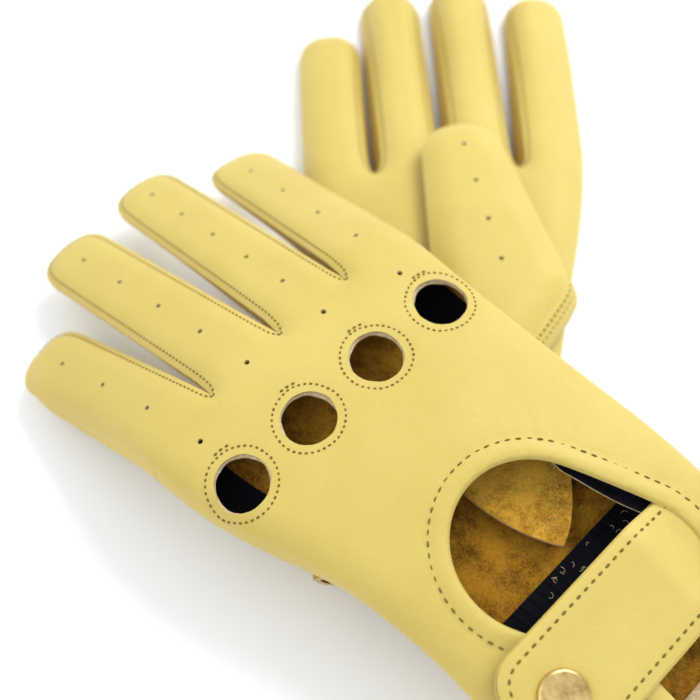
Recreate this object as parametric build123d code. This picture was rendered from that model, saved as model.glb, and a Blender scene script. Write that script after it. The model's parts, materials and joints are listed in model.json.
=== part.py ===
from build123d import *
import os
from dataclasses import dataclass

os.makedirs("parts", exist_ok=True)

# A pair of leather driving gloves at rest. The right glove lies on its back, palm up, and the left
# glove lies across it, palm down. The origin is on the table under the middle of the right glove's
# knuckle line, +Y runs towards the right glove's fingertips, +X towards its thumb, +Z up.
#
# Each glove is first built in its own glove frame: the origin is the middle of the knuckle line on
# the outside of the back leather, +X towards the thumb, +Y towards the fingertips, +Z out of the
# back of the hand, so the palm lies at negative Z. All lengths are in millimetres.

# Materials
LEATHER = 1.1  # glove leather
INNER_LAYER = 0.8  # facings, hems, bands and tapes sewn to the inside of the leather
THREAD_DEPTH = 0.4  # how deep a stitch row lies in the leather
THREAD_WIDTH = 0.6

# Hand
WEB_Y = 24.0  # finger webs, from the knuckle line
HAND_CORNER = 0.42  # corner radius of the hand's section, as a share of its depth
BACK_SHARE = 0.6  # share of the section's depth that the back leather wraps over
BEYOND = 60.0  # a length that reaches past the whole hand, for cutting tools

# Knuckle holes
HOLE_RADIUS = 7.0
HOLE_STITCH_RADIUS = 9.0
FACING_RADIUS = 10.8

# Wrist vent in the back of the hand: two round ends joined by straight sides, and a slot
VENT_TOP = (4.0, -58.5)
VENT_TOP_RADIUS = 19.9
VENT_LOW = (15.0, -80.0)
VENT_LOW_RADIUS = 19.0
VENT_SLOT_WIDTH = 26.0
VENT_STITCH_INSET = 5.0
BINDING_WIDTH = 4.0

# Strap and press stud
STRAP_DISTAL_Y = -71.0
STRAP_WIDTH = 26.0
STRAP_HINGE_X = 33.0  # beside the vent's thumb-side rim, in a glove with the vent not shifted
STRAP_CORNER = 8.0
STRAP_GAP = 1.2  # room between strap and back leather, filled by the stud
STRAP_LINING = 1.0
STRAP_LEATHER = 1.1
STRAP_STITCH_INSET = 2.4
STRAP_END_CLEARANCE = 0.4
STUD_RADIUS = 4.2
STUD_HEIGHT = 1.0
CAP_RADIUS = 6.2
CAP_HEIGHT = 1.4

# Cuff, wrist elastic and side tapes
HEM_WIDTH = 8.0
ELASTIC_Y = -66.5
ELASTIC_WIDTH = 9.0
TAPE_LOW_Y = -16.0
TAPE_HIGH_Y = 18.0

# Fingers
JOINT_GAP = 0.3  # clearance between the hand and each finger's open end
FINGER_BASE_WIDTH = 21.6
FINGER_TIP_WIDTH = 20.5
FINGER_TIP_DEPTH = 11.0
FINGER_CORNER = 0.4
SEAM_DEPTH = 4.0  # how far the back and palm leathers wrap down to the side walls
PERFORATION_RADIUS = 0.75
FINGER_NAMES = ["little", "ring", "middle", "index"]
FINGER_LENGTHS = {"little": 70.0, "ring": 88.0, "middle": 92.0, "index": 84.0}
PERFORATION_STARTS = {"little": -9.0, "ring": -1.8, "middle": -5.5, "index": -11.0}  # from the webs
PERFORATION_PITCHES = {"little": 20.5, "ring": 19.0, "middle": 17.0, "index": 19.8}
PERFORATION_COUNTS = {"little": 4, "ring": 5, "middle": 6, "index": 5}

# Thumb
CRESCENT_GAP = 0.8
CRESCENT_WIDTH = 5.0
CRESCENT_START = 0.75  # how far behind the thumb's middle it starts, as a share of the base radius
THUMB_HOLES = 4
THUMB_HOLE_START = 20.0


@dataclass
class Glove:
    """Shape and pose of one glove, in its own glove frame."""

    name: str
    sections: list  # (y, x low, x high, z of the back, depth), from the webs to the cuff
    knuckle_x: list  # little, ring, middle and index knuckle holes
    finger_x: list  # middles of the four finger bases
    finger_depth: float
    finger_leans: list  # degrees, positive towards the little finger's side
    finger_droops: list  # degrees, positive towards the palm
    vent_shift: float
    thumb_centre: tuple  # middle of the thumb's round base
    thumb_base_radius: float
    thumb_tip_radius: float
    thumb_reach: float  # from the base's middle to the tip circle's middle
    thumb_heading: float  # degrees from +X
    thumb_low: float  # glove-frame z of the thumb's outer face
    thumb_depth: float
    thumb_hole_pitch: float
    bend_reach: float  # from the webs to the line across the fingers where they bend


RIGHT = Glove(
    name="right",
    sections=[
        (WEB_Y, -45.5, 45.0, 0.0, 15.0),
        (0.0, -45.0, 39.5, 0.0, 15.0),
        (-28.0, -45.0, 31.0, 0.0, 15.0),
        (-62.0, -46.0, 21.0, -5.5, 8.5),
        (-112.0, -48.0, 22.0, -5.5, 8.5),
    ],
    knuckle_x=[-33.5, -11.0, 11.0, 28.0],
    finger_x=[-34.2, -11.5, 11.5, 34.0],
    finger_depth=14.6,
    finger_leans=[0.0, 0.0, -1.5, -4.5],
    finger_droops=[0.0, 0.0, 0.0, 0.0],
    vent_shift=-20.5,
    thumb_centre=(12.0, -44.0),
    thumb_base_radius=19.0,
    thumb_tip_radius=12.5,
    thumb_reach=64.0,
    thumb_heading=97.0,
    thumb_low=-23.5,
    thumb_depth=8.0,
    thumb_hole_pitch=15.0,
    bend_reach=10.0,
)

LEFT = Glove(
    name="left",
    sections=[
        (WEB_Y, -46.0, 46.0, 0.0, 16.5),
        (0.0, -43.5, 45.0, 0.0, 19.0),
        (-30.0, -33.5, 45.0, 0.0, 19.0),
        (-62.0, -30.0, 47.5, -4.0, 16.5),
        (-112.0, -33.0, 50.0, -20.0, 12.5),
    ],
    knuckle_x=[-33.5, -11.5, 11.5, 34.5],
    finger_x=[-34.6, -11.6, 11.6, 34.6],
    finger_depth=15.6,
    finger_leans=[7.5, 3.0, -2.0, -6.5],
    finger_droops=[26.0, 20.5, 21.0, 25.5],
    vent_shift=0.0,
    thumb_centre=(35.5, -52.0),
    thumb_base_radius=11.5,
    thumb_tip_radius=9.5,
    thumb_reach=47.0,
    thumb_heading=135.0,
    thumb_low=-27.8,
    thumb_depth=6.6,
    thumb_hole_pitch=10.0,
    bend_reach=0.0,
)

# The left glove's place on the right one: turned, and tipped with its thumb side up.
LEFT_POSITION = (-38.3, -76.3, 43.8)
LEFT_TURN = 41.3
LEFT_PITCH = 1.5
LEFT_ROLL = -6.0
LEFT_PLACE = Pos(*LEFT_POSITION) * Rot(Z=LEFT_TURN) * Rot(X=LEFT_PITCH) * Rot(Y=LEFT_ROLL)


# Hand forms


def carried_on(before, end, overrun):
    """The end section moved outwards by overrun along the hand's own straight lines."""
    share = overrun / abs(end[0] - before[0])
    return tuple(last + (last - first) * share for first, last in zip(before, end))


def hand_form(glove, inset, overrun=0.0):
    """The hand's outer form drawn in by inset, with both ends carried on by overrun."""
    sections = list(glove.sections)
    if overrun:
        sections[0] = carried_on(sections[1], sections[0], overrun)
        sections[-1] = carried_on(sections[-2], sections[-1], overrun)
    faces = []
    for y, x_low, x_high, z_back, depth in sections:
        middle = ((x_low + x_high) / 2, y, z_back - depth / 2)
        plane = Plane(origin=middle, x_dir=(1, 0, 0), z_dir=(0, -1, 0))
        width = x_high - x_low - 2 * inset
        corner = HAND_CORNER * depth - inset
        faces.append(plane * RectangleRounded(width, depth - 2 * inset, corner))
    return loft(faces, ruled=True)


def hand_layer(glove, outer_inset, inner_inset):
    """A skin of the hand between two insets, open at the webs and at the cuff."""
    return hand_form(glove, outer_inset) - hand_form(glove, inner_inset, overrun=1.0)


def back_side(glove):
    """The half space on the back's side of the line where back and palm leathers meet."""
    seam = []
    for y, x_low, x_high, z_back, depth in glove.sections:
        seam.append((y, z_back - BACK_SHARE * depth))
    seam[0] = (seam[0][0] + BEYOND, seam[0][1])
    seam[-1] = (seam[-1][0] - BEYOND, seam[-1][1])
    top = [(seam[-1][0], BEYOND), (seam[0][0], BEYOND)]
    outline = make_face(Polyline(*seam, *top, close=True))
    return extrude(Plane.YZ * outline, amount=2 * BEYOND, both=True)


def between_y(y_low, y_high):
    """A slab across the hand between two distances along it."""
    middle = (y_low + y_high) / 2
    return Pos(0, middle, 0) * Box(4 * BEYOND, y_high - y_low, 4 * BEYOND)


def upright(outline):
    """A cutting prism through the whole depth of the hand."""
    return extrude(outline, amount=2 * BEYOND, both=True)


def vent_outline(glove):
    """The wrist vent: round at its knuckle end, narrowing to a slot that leaves at the cuff."""
    top = Pos(*VENT_TOP) * Circle(VENT_TOP_RADIUS)
    low = Pos(*VENT_LOW) * Circle(VENT_LOW_RADIUS)
    slot = Pos(VENT_LOW[0], VENT_LOW[1] - BEYOND / 2) * Rectangle(VENT_SLOT_WIDTH, BEYOND)
    outline = make_hull(top.edges() + low.edges()) + slot
    return Pos(glove.vent_shift, 0) * outline


def knuckle_rings(glove, inner_radius, outer_radius):
    """One flat ring, or a disc when the inner radius is 0, around each knuckle hole."""
    rings = []
    for x in glove.knuckle_x:
        ring = Circle(outer_radius)
        if inner_radius > 0:
            ring -= Circle(inner_radius)
        rings.append(upright(Pos(x, 0) * ring))
    return rings


def perforations(name):
    """Distances of one finger's row of small holes from the webs; the first lies in the hand."""
    start = PERFORATION_STARTS[name]
    pitch = PERFORATION_PITCHES[name]
    return [start + step * pitch for step in range(PERFORATION_COUNTS[name])]


def gather(parts):
    """One compound of all the solids in the given shapes."""
    solids = []
    for part in parts:
        solids.extend(part.solids())
    return Compound(solids)


# Hand parts


def build_hand(glove):
    """The back and palm leathers, with what is sewn to them."""
    back_half = back_side(glove)
    vent = vent_outline(glove)
    skin = hand_layer(glove, 0, LEATHER)
    thread_layer = hand_layer(glove, 0, THREAD_DEPTH)
    inner_layer = hand_layer(glove, LEATHER, LEATHER + INNER_LAYER)

    vent_band = offset(vent, VENT_STITCH_INSET + THREAD_WIDTH / 2)
    vent_band -= offset(vent, VENT_STITCH_INSET - THREAD_WIDTH / 2)
    vent_stitching = thread_layer & upright(vent_band) & back_half

    half = THREAD_WIDTH / 2
    stitch_rings = knuckle_rings(glove, HOLE_STITCH_RADIUS - half, HOLE_STITCH_RADIUS + half)
    knuckle_stitching = gather([thread_layer & ring & back_half for ring in stitch_rings])

    back = skin & back_half
    back -= upright(vent)
    for hole in knuckle_rings(glove, 0, HOLE_RADIUS):
        back -= hole
    for x, name in zip(glove.finger_x, FINGER_NAMES):
        for distance in perforations(name):
            if distance < 0:
                back -= Pos(x, WEB_Y + distance, 0) * Cylinder(PERFORATION_RADIUS, 4 * LEATHER)
    back -= vent_stitching
    for ring in knuckle_stitching.solids():
        back -= ring

    facing_rings = knuckle_rings(glove, HOLE_RADIUS, FACING_RADIUS)
    facings = gather([inner_layer & ring & back_half for ring in facing_rings])

    binding_band = offset(vent, BINDING_WIDTH) - vent
    binding = inner_layer & upright(binding_band) & back_half

    inner_palm = inner_layer - back_half
    cuff_y = glove.sections[-1][0]
    hem = inner_palm & between_y(cuff_y, cuff_y + HEM_WIDTH)
    elastic = inner_palm & between_y(ELASTIC_Y - ELASTIC_WIDTH / 2, ELASTIC_Y + ELASTIC_WIDTH / 2)
    tapes = inner_palm & between_y(TAPE_LOW_Y, TAPE_HIGH_Y)
    tapes -= Box(2 * (min(-glove.knuckle_x[0], glove.knuckle_x[3]) - 8), 4 * BEYOND, 4 * BEYOND)

    return {
        "hand_back": back,
        "hand_palm": skin - back_half,
        "knuckle_facings": facings,
        "knuckle_stitching": knuckle_stitching,
        "vent_binding": binding,
        "vent_stitching": vent_stitching,
        "cuff_hem": hem,
        "wrist_elastic": elastic,
        "side_tapes": gather([tapes]),
    }


def back_height(glove, y):
    """Height of the back leather's outside at a distance along the wrist, and its slope."""
    y_wrist, _, _, z_wrist, _ = glove.sections[-2]
    y_cuff, _, _, z_cuff, _ = glove.sections[-1]
    slope = (z_cuff - z_wrist) / (y_cuff - y_wrist)
    return z_wrist + slope * (y - y_wrist), slope


def build_strap(glove):
    """The lined strap across the vent, and its press stud on the little finger's side."""
    x_high = STRAP_HINGE_X + glove.vent_shift - STRAP_END_CLEARANCE
    x_low = glove.sections[-2][1] + 3.0
    middle_y = STRAP_DISTAL_Y - STRAP_WIDTH / 2
    length = x_high - x_low
    plate = Rectangle(length, STRAP_WIDTH)
    free_corners = plate.vertices().sort_by(Axis.X)[:2]
    outline = Pos((x_low + x_high) / 2, middle_y) * fillet(free_corners, STRAP_CORNER)

    back_half = back_side(glove)
    lining_top = STRAP_GAP + STRAP_LINING
    leather_top = lining_top + STRAP_LEATHER
    band = offset(outline, -STRAP_STITCH_INSET)
    band -= offset(outline, -STRAP_STITCH_INSET - THREAD_WIDTH)
    lining = hand_layer(glove, -lining_top, -STRAP_GAP) & upright(outline) & back_half
    leather = hand_layer(glove, -leather_top, -lining_top) & upright(outline) & back_half
    thread_layer = hand_layer(glove, -leather_top, THREAD_DEPTH - leather_top)
    stitching = thread_layer & upright(band) & back_half

    stud_x = x_low + CAP_RADIUS + 3.5
    z_back, slope = back_height(glove, middle_y)
    seat = Plane(origin=(stud_x, middle_y, z_back), x_dir=(1, 0, 0), z_dir=(0, -slope, 1))
    stud = extrude(seat * Circle(STUD_RADIUS), amount=STUD_HEIGHT)
    cap_seat = seat.offset(leather_top + 0.02)
    cap = extrude(cap_seat * Circle(CAP_RADIUS), amount=CAP_HEIGHT)
    cap = fillet(cap.edges().sort_by_distance(cap_seat.origin)[-1], CAP_HEIGHT * 0.6)
    return {
        "snap_stud": stud,
        "strap_leather": leather - stitching,
        "strap_lining": lining,
        "strap_stitching": stitching,
        "snap_cap": cap,
    }


# Fingers


def finger_form(length, base_depth, inset):
    """A tapered tube with a round tip, its back at z = 0 and its open end behind y = 0."""
    overlap = 14.0
    faces = []
    stations = [
        (-overlap, FINGER_BASE_WIDTH, base_depth),
        (0.0, FINGER_BASE_WIDTH, base_depth),
        (length + overlap, FINGER_TIP_WIDTH, FINGER_TIP_DEPTH - 0.6),
    ]
    for y, width, depth in stations:
        plane = Plane(origin=(0, y, -depth / 2), x_dir=(1, 0, 0), z_dir=(0, -1, 0))
        corner = FINGER_CORNER * depth - inset
        faces.append(plane * RectangleRounded(width - 2 * inset, depth - 2 * inset, corner))
    tube = loft(faces, ruled=True)

    tip_radius = FINGER_TIP_WIDTH / 2 - inset
    tip_y = length - FINGER_TIP_WIDTH / 2
    shaft_length = tip_y + overlap + BEYOND
    shaft = Pos(0, tip_y - shaft_length / 2) * Rectangle(4 * tip_radius, shaft_length)
    plan = shaft + Pos(0, tip_y) * Ellipse(tip_radius + 1.2, tip_radius)
    return tube & upright(plan)


def finger_cutter(length, from_back, to_back):
    """A slab between two depths under the finger's back, sloping with its palm side."""
    top_base, top_tip = from_back
    low_base, low_tip = to_back
    y_low = -20.0
    y_high = length + 5.0
    corners = [(y_low, top_base), (y_high, top_tip), (y_high, low_tip), (y_low, low_base)]
    outline = make_face(Polyline(*corners, close=True))
    return extrude(Plane.YZ * outline, amount=BEYOND, both=True)


def whole_finger(glove, index):
    """One finger in its place: back leather, palm leather and the side walls between fingers."""
    name = FINGER_NAMES[index]
    length = FINGER_LENGTHS[name]
    depth = glove.finger_depth
    tube = finger_form(length, depth, 0) - finger_form(length, depth, LEATHER)

    back_low = -SEAM_DEPTH
    palm_high_base = SEAM_DEPTH - depth
    palm_high_tip = SEAM_DEPTH - FINGER_TIP_DEPTH
    back_slab = finger_cutter(length, (BEYOND, BEYOND), (back_low, back_low))
    palm_slab = finger_cutter(length, (palm_high_base, palm_high_tip), (-BEYOND, -BEYOND))
    back = tube & back_slab
    palm = tube & palm_slab
    walls = tube - back_slab - palm_slab

    # The outer sides of the index and little fingers have no seam: the leather runs round.
    open_side = {"little": -1, "index": 1}.get(name, 0)
    if open_side:
        outer_half = Pos(open_side * BEYOND, 0, 0) * Box(2 * BEYOND, 4 * BEYOND, 4 * BEYOND)
        back = back + (walls & outer_half)
        walls = walls - outer_half

    for distance in perforations(name):
        if distance > 0:
            back -= Pos(0, distance, 0) * Cylinder(PERFORATION_RADIUS, 4 * LEATHER)

    turn = Rot(Z=glove.finger_leans[index]) * Rot(X=-glove.finger_droops[index])
    place = Pos(glove.finger_x[index], WEB_Y, 0) * turn
    return place * back, place * palm, place * walls


def build_finger(glove, index):
    """The part of one finger that bends."""
    name = FINGER_NAMES[index]
    back, palm, walls = whole_finger(glove, index)
    hinge_y = WEB_Y + glove.bend_reach
    past_hinge = between_y(hinge_y + JOINT_GAP, hinge_y + 4 * BEYOND)
    return {
        f"{name}_back": back & past_hinge,
        f"{name}_palm": palm & past_hinge,
        f"{name}_side_walls": gather([walls & past_hinge]),
    }


def add_finger_roots(glove, hand):
    """Join the fingers' stretch between the webs and the line where they bend to the hand."""
    before_hinge = between_y(WEB_Y, WEB_Y + glove.bend_reach)
    for index in range(len(FINGER_NAMES)):
        back, palm, walls = whole_finger(glove, index)
        hand["hand_back"] += (back & before_hinge) + (walls & before_hinge)
        hand["hand_palm"] += palm & before_hinge


# Thumb


def thumb_plan(glove, inset):
    """The thumb seen from above: a round base, straight sides and a round tip."""
    base = Circle(glove.thumb_base_radius - inset)
    tip = Pos(glove.thumb_reach, 0) * Circle(glove.thumb_tip_radius - inset)
    return make_hull(base.edges() + tip.edges())


def build_thumb(glove):
    """The thumb, folded flat over the palm, and the crescent of palm leather it is sewn to."""
    place = Pos(*glove.thumb_centre, glove.thumb_low) * Rot(Z=glove.thumb_heading)
    depth = glove.thumb_depth
    outer = extrude(thumb_plan(glove, 0), amount=depth)
    hollow = Pos(0, 0, LEATHER) * extrude(thumb_plan(glove, LEATHER), amount=depth - 2 * LEATHER)
    shell = outer - hollow

    wrap = LEATHER + 0.6
    whole = 6 * BEYOND
    outer_face = Pos(0, 0, wrap - whole / 2) * Box(whole, whole, whole)
    inner_face = Pos(0, 0, depth - wrap + whole / 2) * Box(whole, whole, whole)
    back = shell & outer_face
    for step in range(THUMB_HOLES):
        distance = THUMB_HOLE_START + step * glove.thumb_hole_pitch
        back -= Pos(distance, 0, 0) * Cylinder(PERFORATION_RADIUS, 4 * LEATHER)

    inner_radius = glove.thumb_base_radius + CRESCENT_GAP
    ring = Circle(inner_radius + CRESCENT_WIDTH) - Circle(inner_radius)
    behind = Pos(-BEYOND - CRESCENT_START * glove.thumb_base_radius, 0) * Rectangle(2 * BEYOND, 4 * BEYOND)
    crescent = (place * extrude(ring & behind, amount=depth)) - hand_form(glove, 0)
    return {
        "thumb_back": place * back,
        "thumb_front": place * (shell & inner_face),
        "thumb_side_wall": place * (shell - outer_face - inner_face),
        "thumb_base": crescent,
    }


# Both gloves


def build_glove(glove):
    """All the pieces of one glove, in its glove frame."""
    pieces = build_hand(glove)
    if glove.bend_reach:
        add_finger_roots(glove, pieces)
    pieces.update(build_strap(glove))
    for index in range(len(FINGER_NAMES)):
        pieces.update(build_finger(glove, index))
    pieces.update(build_thumb(glove))
    return pieces


def write_glove(glove, pose):
    """Write every piece of a glove, after pose has moved it to its place in the pair."""
    for name, piece in build_glove(glove).items():
        export_step(pose(piece), f"parts/{glove.name}_{name}.step")


write_glove(RIGHT, lambda piece: piece.mirror(Plane.XY))
write_glove(LEFT, lambda piece: LEFT_PLACE * piece)
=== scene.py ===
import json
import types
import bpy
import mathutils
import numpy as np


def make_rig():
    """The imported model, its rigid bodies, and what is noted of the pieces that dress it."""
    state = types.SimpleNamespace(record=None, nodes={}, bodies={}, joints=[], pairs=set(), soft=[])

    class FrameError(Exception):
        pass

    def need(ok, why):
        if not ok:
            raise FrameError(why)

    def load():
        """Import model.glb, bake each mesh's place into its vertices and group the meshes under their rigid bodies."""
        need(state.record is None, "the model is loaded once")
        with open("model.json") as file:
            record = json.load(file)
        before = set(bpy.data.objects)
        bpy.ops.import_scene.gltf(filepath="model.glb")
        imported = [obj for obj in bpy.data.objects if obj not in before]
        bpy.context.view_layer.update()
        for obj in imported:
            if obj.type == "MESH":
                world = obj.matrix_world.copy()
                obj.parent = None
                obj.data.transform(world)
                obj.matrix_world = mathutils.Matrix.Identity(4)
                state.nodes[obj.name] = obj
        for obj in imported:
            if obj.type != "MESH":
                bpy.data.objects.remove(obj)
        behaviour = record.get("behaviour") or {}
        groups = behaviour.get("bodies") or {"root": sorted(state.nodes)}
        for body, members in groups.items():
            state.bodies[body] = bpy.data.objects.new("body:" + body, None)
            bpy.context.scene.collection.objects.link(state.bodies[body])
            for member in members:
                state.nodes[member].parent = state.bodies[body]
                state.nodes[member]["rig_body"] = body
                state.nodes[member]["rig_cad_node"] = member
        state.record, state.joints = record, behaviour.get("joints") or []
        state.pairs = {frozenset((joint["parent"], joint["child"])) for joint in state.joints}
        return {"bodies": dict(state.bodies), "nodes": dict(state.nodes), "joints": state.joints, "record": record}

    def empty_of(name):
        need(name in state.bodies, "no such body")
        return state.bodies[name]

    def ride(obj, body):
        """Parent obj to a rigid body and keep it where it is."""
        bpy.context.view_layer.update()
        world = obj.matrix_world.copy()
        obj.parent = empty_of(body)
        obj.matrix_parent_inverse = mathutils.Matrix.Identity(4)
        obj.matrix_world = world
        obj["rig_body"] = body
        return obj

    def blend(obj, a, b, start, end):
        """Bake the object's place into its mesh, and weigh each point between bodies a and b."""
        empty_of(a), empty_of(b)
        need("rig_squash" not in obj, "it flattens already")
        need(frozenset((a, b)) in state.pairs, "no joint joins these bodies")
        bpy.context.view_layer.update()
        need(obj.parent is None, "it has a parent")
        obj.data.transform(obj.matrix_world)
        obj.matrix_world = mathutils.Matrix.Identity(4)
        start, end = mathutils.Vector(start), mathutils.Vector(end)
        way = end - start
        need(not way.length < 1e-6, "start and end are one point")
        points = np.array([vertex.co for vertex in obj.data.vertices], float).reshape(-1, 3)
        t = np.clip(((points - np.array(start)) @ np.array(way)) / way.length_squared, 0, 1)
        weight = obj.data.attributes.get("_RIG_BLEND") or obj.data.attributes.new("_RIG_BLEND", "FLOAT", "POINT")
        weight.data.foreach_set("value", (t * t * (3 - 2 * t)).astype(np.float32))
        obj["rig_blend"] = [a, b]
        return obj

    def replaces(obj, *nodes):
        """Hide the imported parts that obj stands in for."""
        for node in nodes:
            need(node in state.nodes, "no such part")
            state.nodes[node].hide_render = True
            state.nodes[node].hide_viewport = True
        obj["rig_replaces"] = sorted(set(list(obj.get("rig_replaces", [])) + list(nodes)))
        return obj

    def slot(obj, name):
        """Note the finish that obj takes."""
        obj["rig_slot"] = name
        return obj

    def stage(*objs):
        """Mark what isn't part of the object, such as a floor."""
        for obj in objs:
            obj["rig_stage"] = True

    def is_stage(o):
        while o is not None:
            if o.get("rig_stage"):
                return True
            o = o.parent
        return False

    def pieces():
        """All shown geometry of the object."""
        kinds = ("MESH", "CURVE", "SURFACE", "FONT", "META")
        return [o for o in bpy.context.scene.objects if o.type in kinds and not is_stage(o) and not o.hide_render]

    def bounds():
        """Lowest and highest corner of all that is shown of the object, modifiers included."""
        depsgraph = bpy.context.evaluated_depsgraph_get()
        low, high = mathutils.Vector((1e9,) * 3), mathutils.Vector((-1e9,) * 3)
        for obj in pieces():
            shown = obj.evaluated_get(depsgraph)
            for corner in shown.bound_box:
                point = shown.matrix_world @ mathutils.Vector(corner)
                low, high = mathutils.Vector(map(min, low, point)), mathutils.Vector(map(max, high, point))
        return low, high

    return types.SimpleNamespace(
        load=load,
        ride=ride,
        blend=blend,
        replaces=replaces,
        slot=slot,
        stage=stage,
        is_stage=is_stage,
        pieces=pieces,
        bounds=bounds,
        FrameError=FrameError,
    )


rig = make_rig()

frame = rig.load()

import json
import math
from dataclasses import dataclass

import bpy
import numpy as np
from mathutils import Vector
from mathutils.geometry import delaunay_2d_cdt

# The look of a pair of leather driving gloves. Each glove is worked out in its own glove frame, in
# millimetres: origin at the middle of the knuckle line on the outside of the back leather, +x to
# the thumb, +y to the fingertips, +z out of the back of the hand. Glove.row() takes points from
# there to the row frame, in metres.
#
# A leather panel is first a flat plan, triangulated with all its slits and holes. It is then
# lifted: given its height above the glove's plane, bent down at the webs, and given a thickness.

cad_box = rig.bounds()

MM = 0.001
LEATHER = 1.1
GRID = 1.7  # spacing of the points inside a panel
EDGE_STEP = 1.2  # spacing of the points along its edges

FINGERS = ["little", "ring", "middle", "index"]
FINGER_LENGTHS = [68.0, 88.5, 92.5, 84.0]
WEB_Y = 24.0
FINGER_BASE_WIDTH = 22.0
FINGER_TIP_WIDTH = 21.4
FINGER_TIP_DEPTH = 11.0
TIP_SQUARENESS = 0.82  # below 1 a fingertip is blunter than a half circle
EDGE_START = 7.0  # where a finger's straight edge begins, beyond the web
BEND_REACH = 10.0  # half the length over which a finger bends down at its web

SLIT_DROP = 2.0  # how far the back leather dips at the seams between fingers
SLIT_WIDTH = 6.5
FOLD_WIDTH = 8.0  # how far in from a side fold the leather starts to turn down
FULLNESS = 2.3  # how late the back and the palm fall away towards their sides

HOLE_RADIUS = 7.0
HOLE_STITCH_RADIUS = 9.0
PERFORATION_RADIUS = 0.75
PERFORATION_STARTS = [-9.0, -1.8, -5.5, -11.0]
PERFORATION_PITCHES = [20.5, 19.0, 17.0, 19.8]
PERFORATION_COUNTS = [4, 5, 6, 5]

VENT_TOP = np.array([4.0, -58.5])
VENT_TOP_RADIUS = 19.9
VENT_LOW = np.array([15.0, -80.0])
VENT_LOW_RADIUS = 19.0
VENT_SLOT_HALF = 13.0
VENT_STITCH_INSET = 5.0

STRAP_DISTAL_Y = -71.0
STRAP_WIDTH = 26.0
STRAP_HINGE_X = 33.0

LOW_X, HIGH_X, TOP_Z, DEPTH = 1, 2, 3, 4  # columns of a glove's measured sections


@dataclass
class Glove:
    """One glove's place, measured from the frame, and the shape of its leather."""

    name: str
    stations: list  # distances along the hand where its section is measured, the cuff last
    leans: list  # degrees, positive towards the little finger's side
    droops: list  # degrees, positive towards the palm
    knuckle_x: list
    vent_shift: float
    finger_depth: float
    back_crown: float  # how far the back leather falls from its middle to its sides
    palm_crown: float
    fold_drop: float  # and how far it then turns down at the side folds
    lip: float  # how far the palm leather stands out below the little finger's fold
    mirrored: bool
    split_y: float  # hand and finger pieces meet here
    blend_end_y: float  # the leather beyond here moves all with the finger
    thumb_hole_pitch: float
    axes: np.ndarray = None
    origin: np.ndarray = None
    finger_x: list = None
    sections: np.ndarray = None

    def row(self, points):
        """Points of the glove frame, in the row frame."""
        return (self.origin + np.asarray(points, float) @ self.axes) * MM

    def local(self, points):
        """Points of the row frame, in the glove frame."""
        return (np.asarray(points, float) / MM - self.origin) @ self.axes.T

    def section(self, y, column):
        """One column of the measured sections at y, smoothed along the hand."""
        measured = self.sections[:, 0], self.sections[:, column]
        return np.mean([np.interp(y + step, *measured) for step in np.linspace(-9.0, 9.0, 7)], axis=0)

    def joint(self, name):
        """One of this glove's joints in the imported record."""
        return next(j for j in frame["joints"] if j["name"] == f"{self.name}_{name}")

    def pivot(self, name):
        """A joint's place in the glove frame."""
        return self.local(self.joint(name)["pos_m"])


def measure(glove):
    """Read the glove's place and the hand's sections from the frame."""
    if glove.mirrored:
        glove.axes = np.diag([1.0, 1.0, -1.0])
        glove.origin = np.zeros(3)
    else:
        x_axis = np.array(glove.joint("little_bend")["axis"])
        z_axis = np.array(glove.joint("thumb_swing")["axis"])
        y_axis = np.cross(z_axis, x_axis)
        glove.axes = np.array([x_axis, y_axis, z_axis])
        ends = [np.array(glove.joint(name)["pos_m"]) for name in ("little_bend", "index_bend")]
        glove.origin = (ends[0] + ends[1]) / 2 / MM - WEB_Y * y_axis
    glove.finger_x = [float(glove.pivot(f"{finger}_bend")[0]) for finger in FINGERS]
    nodes = [frame["nodes"][f"{glove.name}_hand_{side}"] for side in ("back", "palm")]
    hand = np.vstack([glove.local([v.co for v in node.data.vertices]) for node in nodes])
    rows = []
    for y in sorted(glove.stations):
        ring = hand[np.abs(hand[:, 1] - y) < 0.4]
        low, high = ring.min(axis=0), ring.max(axis=0)
        rows.append([y, low[0], high[0], high[2], high[2] - low[2]])
    glove.sections = np.array(rows)
    return glove


RIGHT = measure(Glove(
    name="right", stations=[24.0, 0.0, -28.0, -62.0, -112.0],
    leans=[0.0, 0.0, -1.5, -4.5], droops=[0.0, 0.0, 0.0, 0.0], knuckle_x=[-33.5, -11.0, 11.0, 28.0],
    vent_shift=-20.5, finger_depth=14.6, back_crown=0.5, palm_crown=2.4, fold_drop=5.0, lip=0.0,
    mirrored=True, split_y=30.5, blend_end_y=47.0, thumb_hole_pitch=15.0,
))
LEFT = measure(Glove(
    name="left", stations=[24.0, 0.0, -30.0, -62.0, -112.0],
    leans=[7.5, 3.0, -2.0, -6.5], droops=[26.0, 20.5, 21.0, 25.5], knuckle_x=[-33.5, -11.5, 11.5, 34.5],
    vent_shift=0.0, finger_depth=15.6, back_crown=3.6, palm_crown=1.2, fold_drop=3.4, lip=2.2,
    mirrored=False, split_y=20.5, blend_end_y=37.0, thumb_hole_pitch=10.0,
))


# Curves in the plan


def smooth_step(low, high, value):
    """0 below low, 1 above high, and a smooth rise between."""
    share = np.clip((value - low) / (high - low), 0, 1)
    return share * share * (3 - 2 * share)


def resample(points, step):
    """The same line with points about one step apart."""
    points = np.asarray(points, float)
    lengths = np.concatenate([[0], np.cumsum(np.linalg.norm(np.diff(points, axis=0), axis=1))])
    count = max(2, int(round(lengths[-1] / step)) + 1)
    wanted = np.linspace(0, lengths[-1], count)
    return np.column_stack([np.interp(wanted, lengths, points[:, k]) for k in range(points.shape[1])])


def soften(points, passes):
    """Round the corners of a line, keeping its ends and its number of points."""
    points = np.array(points, float)
    for _ in range(passes):
        points[1:-1] = (points[:-2] + 2 * points[1:-1] + points[2:]) / 4
    return points


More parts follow.
